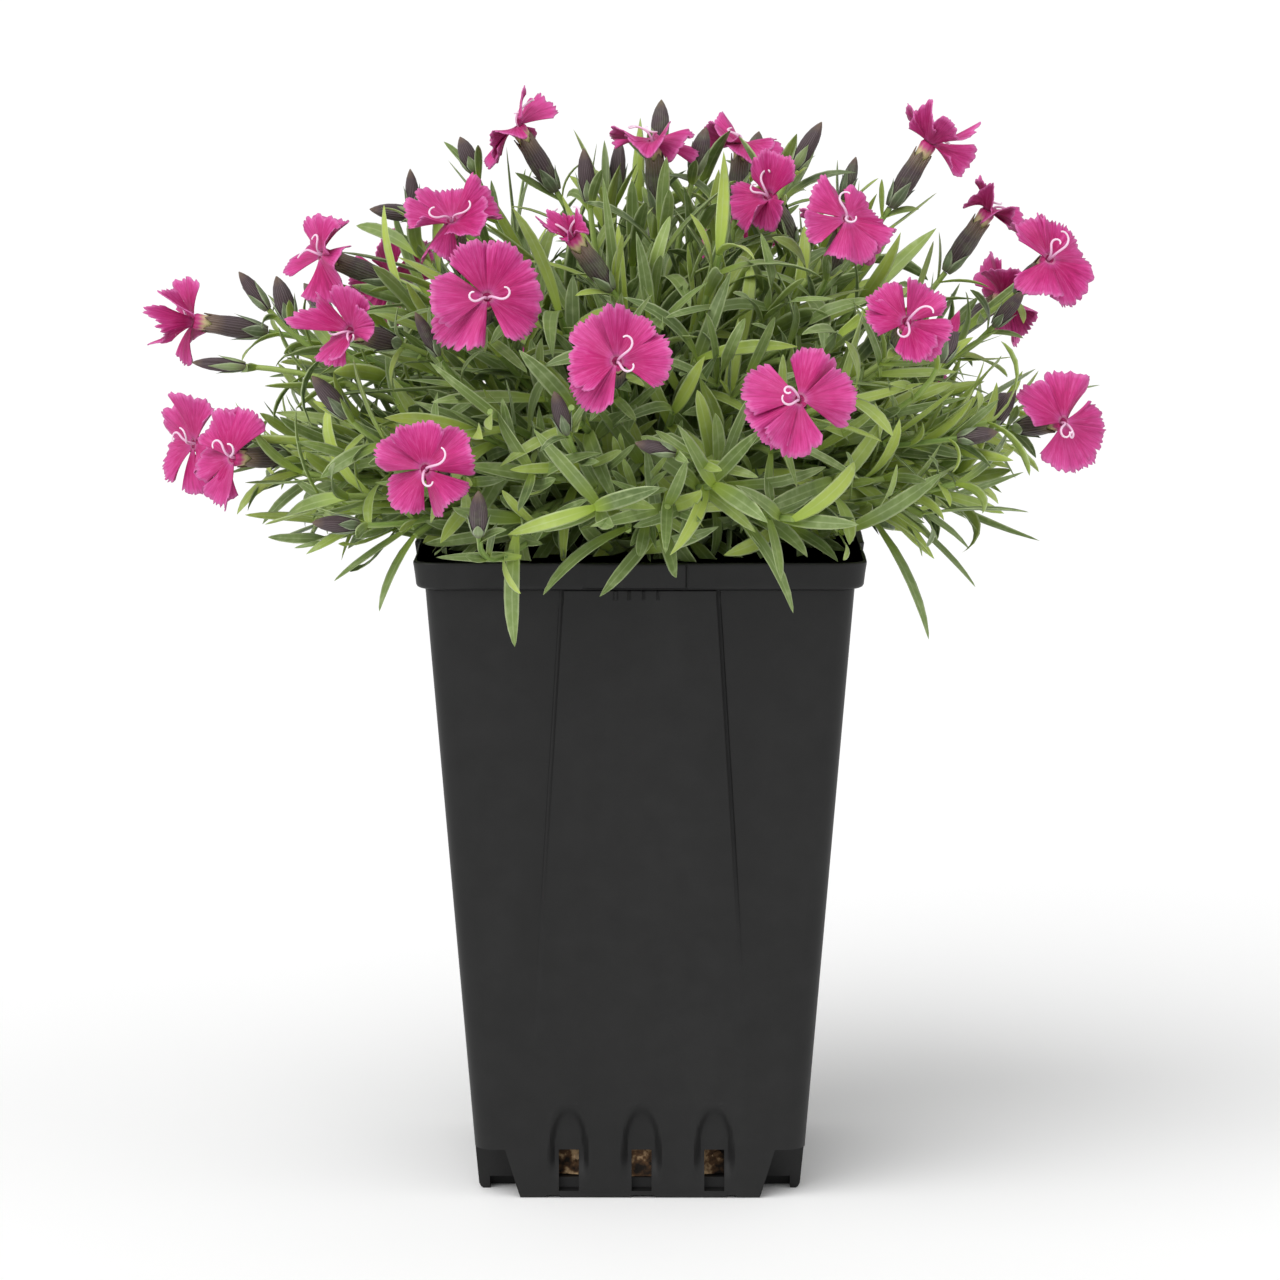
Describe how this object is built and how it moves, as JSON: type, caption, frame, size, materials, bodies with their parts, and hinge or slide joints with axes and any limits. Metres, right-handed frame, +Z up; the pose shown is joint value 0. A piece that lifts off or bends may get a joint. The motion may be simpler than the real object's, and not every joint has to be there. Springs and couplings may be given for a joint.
{
  "type": "dianthus plant",
  "caption": "Compact flowering dianthus with toothed pink blooms on purple calyces, dark buds and narrow grey-green leaves, standing in a tall square tapered nursery pot.",
  "frame": {"origin": "on the surface the pot stands on, under the middle of the pot", "axes": "+Z up the plant; -Y is the side that the plant shows best; +X to the right of that side"},
  "size_m": [0.2506, 0.1988, 0.2853],
  "materials": {
    "pot": "fine-grained black moulded polypropylene",
    "soil": "loose peat and bark crumb",
    "foliage": "waxy grey-green leaf",
    "petals": "soft matt petal",
    "calyces": "smooth purple-brown calyx"
  },
  "bodies": {
    "root": {"pot": "pot", "soil": "soil", "foliage": "foliage", "bloom_01": "petals", "bloom_02": "petals", "bloom_03": "petals", "bloom_04": "petals", "bloom_05": "petals", "bloom_06": "petals", "bloom_07": "petals", "bloom_08": "petals", "bloom_09": "petals", "bloom_10": "petals", "bloom_11": "petals", "bloom_12": "petals", "bloom_13": "petals", "bloom_14": "petals", "bloom_15": "petals", "bloom_16": "petals", "bloom_17": "petals", "bloom_18": "petals", "bloom_19": "petals", "bloom_20": "petals", "bloom_21": "petals", "bloom_22": "petals", "bloom_23": "petals", "bloom_24": "petals", "bloom_25": "petals", "bloom_26": "petals", "calyx_01": "calyces", "calyx_02": "calyces", "calyx_03": "calyces", "calyx_04": "calyces", "calyx_05": "calyces", "calyx_06": "calyces", "calyx_07": "calyces", "calyx_08": "calyces", "calyx_09": "calyces", "calyx_10": "calyces", "calyx_11": "calyces", "calyx_12": "calyces", "calyx_13": "calyces", "calyx_14": "calyces", "calyx_15": "calyces", "calyx_16": "calyces", "calyx_17": "calyces", "calyx_18": "calyces", "calyx_19": "calyces", "calyx_20": "calyces", "calyx_21": "calyces", "calyx_22": "calyces", "calyx_23": "calyces", "calyx_24": "calyces", "calyx_25": "calyces", "calyx_26": "calyces"}
  },
  "joints": []
}
